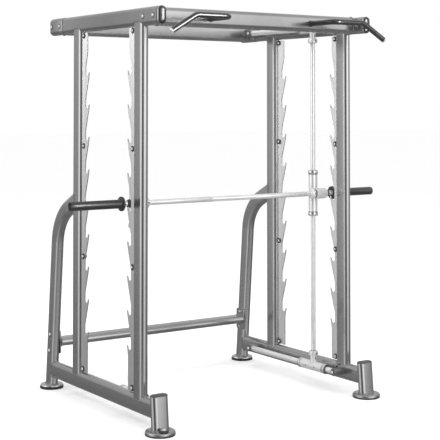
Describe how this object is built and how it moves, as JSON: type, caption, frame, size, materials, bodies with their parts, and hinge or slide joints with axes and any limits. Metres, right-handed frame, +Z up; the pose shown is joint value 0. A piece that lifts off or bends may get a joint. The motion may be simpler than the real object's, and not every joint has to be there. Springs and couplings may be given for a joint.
{
  "type": "smith machine",
  "caption": "Free-path smith machine: two-sided tube frame with sawtooth catch strips, and a lifting bar that slides up and down and rolls front to back on chrome rods.",
  "frame": {"origin": "on the floor, under the middle of the overall box", "axes": "+X along the lifting bar, to the right seen from the front foot posts; +Y to the rear, towards the curved braces; +Z up"},
  "size_m": [2.164, 1.5154, 2.2853],
  "materials": {
    "silver_grey_paint": "satin metallic powder coat",
    "light_silver_strip": "light silver satin",
    "chrome": "polished",
    "light_silver_housing": "satin",
    "dark_plastic": "matte",
    "black_gloss": "gloss black",
    "black_grip": "satin"
  },
  "bodies": {
    "frame": {"front_top_beam": "silver_grey_paint", "left_base_rail": "silver_grey_paint", "left_foot_post": "silver_grey_paint", "left_foot_post_cap": "dark_plastic", "left_front_catch_strip": "light_silver_strip", "left_front_foot_disc": "silver_grey_paint", "left_front_upright": "silver_grey_paint", "left_handle_end_cap": "chrome", "left_lower_front_boss": "silver_grey_paint", "left_lower_guide_rod": "chrome", "left_lower_rear_boss": "silver_grey_paint", "left_pullup_handle": "black_grip", "left_rear_brace": "silver_grey_paint", "left_rear_catch_strip": "light_silver_strip", "left_rear_foot_disc": "black_gloss", "left_rear_upright": "silver_grey_paint", "left_top_rail": "silver_grey_paint", "left_top_rail_front_cap": "silver_grey_paint", "left_top_rail_rear_cap": "silver_grey_paint", "left_upper_front_boss": "silver_grey_paint", "left_upper_guide_rod": "chrome", "left_upper_rear_boss": "silver_grey_paint", "low_crossbar": "silver_grey_paint", "rear_top_beam": "silver_grey_paint", "right_base_rail": "silver_grey_paint", "right_foot_post": "silver_grey_paint", "right_foot_post_cap": "dark_plastic", "right_front_catch_strip": "light_silver_strip", "right_front_foot_disc": "silver_grey_paint", "right_front_upright": "silver_grey_paint", "right_handle_end_cap": "chrome", "right_lower_front_boss": "silver_grey_paint", "right_lower_guide_rod": "chrome", "right_lower_rear_boss": "silver_grey_paint", "right_pullup_handle": "black_grip", "right_rear_brace": "silver_grey_paint", "right_rear_catch_strip": "light_silver_strip", "right_rear_foot_disc": "black_gloss", "right_rear_upright": "silver_grey_paint", "right_top_rail": "silver_grey_paint", "right_top_rail_front_cap": "silver_grey_paint", "right_top_rail_rear_cap": "silver_grey_paint", "right_upper_front_boss": "silver_grey_paint", "right_upper_guide_rod": "chrome", "right_upper_rear_boss": "silver_grey_paint"},
    "right_trolleys": {"right_lower_trolley": "light_silver_housing", "right_upper_trolley": "light_silver_housing", "right_upright_rod": "chrome"},
    "left_trolleys": {"left_lower_trolley": "light_silver_housing", "left_upper_trolley": "light_silver_housing", "left_upright_rod": "chrome"},
    "right_carriage": {"right_bar_carriage": "light_silver_housing"},
    "left_carriage": {"left_bar_carriage": "light_silver_housing"},
    "bar": {"left_bar_collar": "chrome", "left_bar_stop": "dark_plastic", "lifting_bar": "chrome", "right_bar_collar": "chrome", "right_bar_stop": "dark_plastic"},
    "right_sleeve": {"right_weight_sleeve": "black_gloss"},
    "left_sleeve": {"left_weight_sleeve": "black_gloss"}
  },
  "joints": [
    {"name": "right_travel", "type": "slide", "parent": "frame", "child": "right_trolleys", "axis": [0, 1, 0], "range_m": [-0.045, 0.461]},
    {"name": "left_travel", "type": "slide", "parent": "frame", "child": "left_trolleys", "axis": [0, 1, 0], "range_m": [-0.045, 0.461]},
    {"name": "right_lift", "type": "slide", "parent": "right_trolleys", "child": "right_carriage", "axis": [0, 0, 1], "range_m": [-0.762, 0.762]},
    {"name": "left_lift", "type": "slide", "parent": "left_trolleys", "child": "left_carriage", "axis": [0, 0, 1], "range_m": [-0.762, 0.762]},
    {"name": "bar_turn", "type": "hinge", "parent": "right_carriage", "child": "bar", "pos_m": [0.65, -0.2429, 1.1995], "axis": [1, 0, 0], "continuous": true},
    {"name": "right_sleeve_spin", "type": "hinge", "parent": "bar", "child": "right_sleeve", "pos_m": [0.7555, -0.2429, 1.1995], "axis": [1, 0, 0], "continuous": true},
    {"name": "left_sleeve_spin", "type": "hinge", "parent": "bar", "child": "left_sleeve", "pos_m": [-0.7555, -0.2429, 1.1995], "axis": [1, 0, 0], "continuous": true}
  ],
  "couplings": [
    {"joint": "left_travel", "follows": "right_travel", "ratio": 1},
    {"joint": "left_lift", "follows": "right_lift", "ratio": 1}
  ]
}
